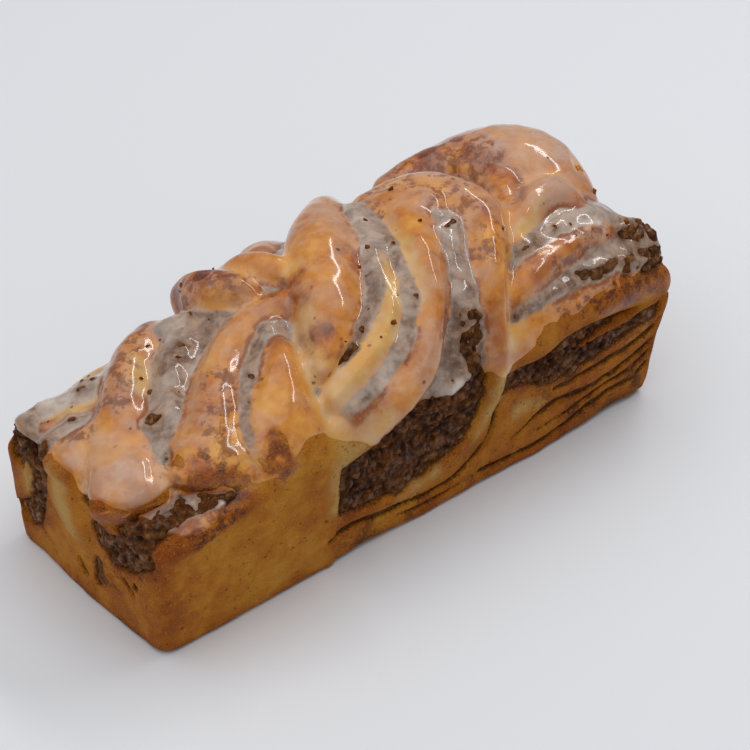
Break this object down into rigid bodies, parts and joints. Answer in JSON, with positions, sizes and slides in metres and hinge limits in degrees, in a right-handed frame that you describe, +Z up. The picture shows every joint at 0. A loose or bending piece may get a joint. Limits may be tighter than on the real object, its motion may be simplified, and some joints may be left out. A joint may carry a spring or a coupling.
{
  "type": "nut strudel",
  "caption": "Twisted yeast loaf with nut filling and sugar glaze: a flat-based block baked in a tin, with rounded folds of dough rising above the rim.",
  "frame": {"origin": "centre of the loaf's flat base, on the surface that it stands on", "axes": "+X along the loaf towards its higher end, -Y towards its front side, +Z up"},
  "size_m": [0.25, 0.1075, 0.1048],
  "materials": {
    "baked_dough": "golden brown crust, matte on the tin's walls and paler where it stretched",
    "nut_filling": "rough, granular brown nut paste",
    "sugar_glaze": "glossy, thin and translucent, whiter where it pools"
  },
  "bodies": {
    "root": {"loaf": "baked_dough"}
  },
  "joints": []
}
